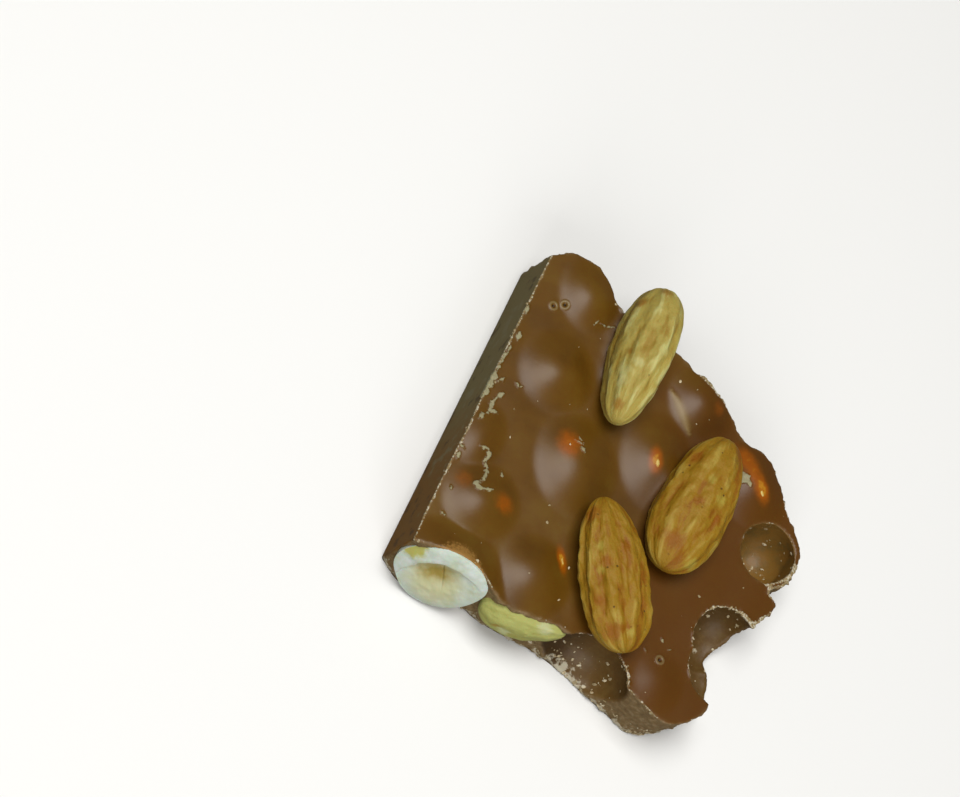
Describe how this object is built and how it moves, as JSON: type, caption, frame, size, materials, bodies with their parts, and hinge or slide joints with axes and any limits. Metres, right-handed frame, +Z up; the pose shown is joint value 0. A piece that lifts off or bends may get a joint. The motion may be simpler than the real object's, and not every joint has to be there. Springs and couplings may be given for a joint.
{
  "type": "nut chocolate slab piece",
  "caption": "Broken corner piece of a thick cast milk chocolate slab with whole roasted almonds and hazelnuts, one moulded side and ragged broken edges.",
  "frame": {"origin": "on the flat underside, below the middle of the piece's box", "axes": "+Z up from the underside, +Y along the straight moulded side towards its chipped far end, -X out of the moulded side"},
  "size_m": [0.0617, 0.0633, 0.0211],
  "materials": {
    "milk_chocolate": "satin milk chocolate, smooth on top and on the moulded side, dull and grainy on the breaks",
    "roasted_almond": "furrowed roasted almond, golden brown with paler ridges",
    "pale_almond": "blanched almond, pale yellow and softly furrowed",
    "hazelnut_skin": "roasted hazelnut, golden orange under a film of chocolate",
    "hazelnut_flesh": "broken hazelnut flesh, creamy white with a tan hollow"
  },
  "bodies": {
    "root": {"chocolate": "milk_chocolate", "almond_1": "pale_almond", "almond_2": "roasted_almond", "almond_3": "roasted_almond", "almond_piece": "pale_almond", "hazelnut_1": "hazelnut_skin", "hazelnut_2": "hazelnut_skin", "hazelnut_3": "hazelnut_skin", "hazelnut_half": "hazelnut_flesh"}
  },
  "joints": []
}
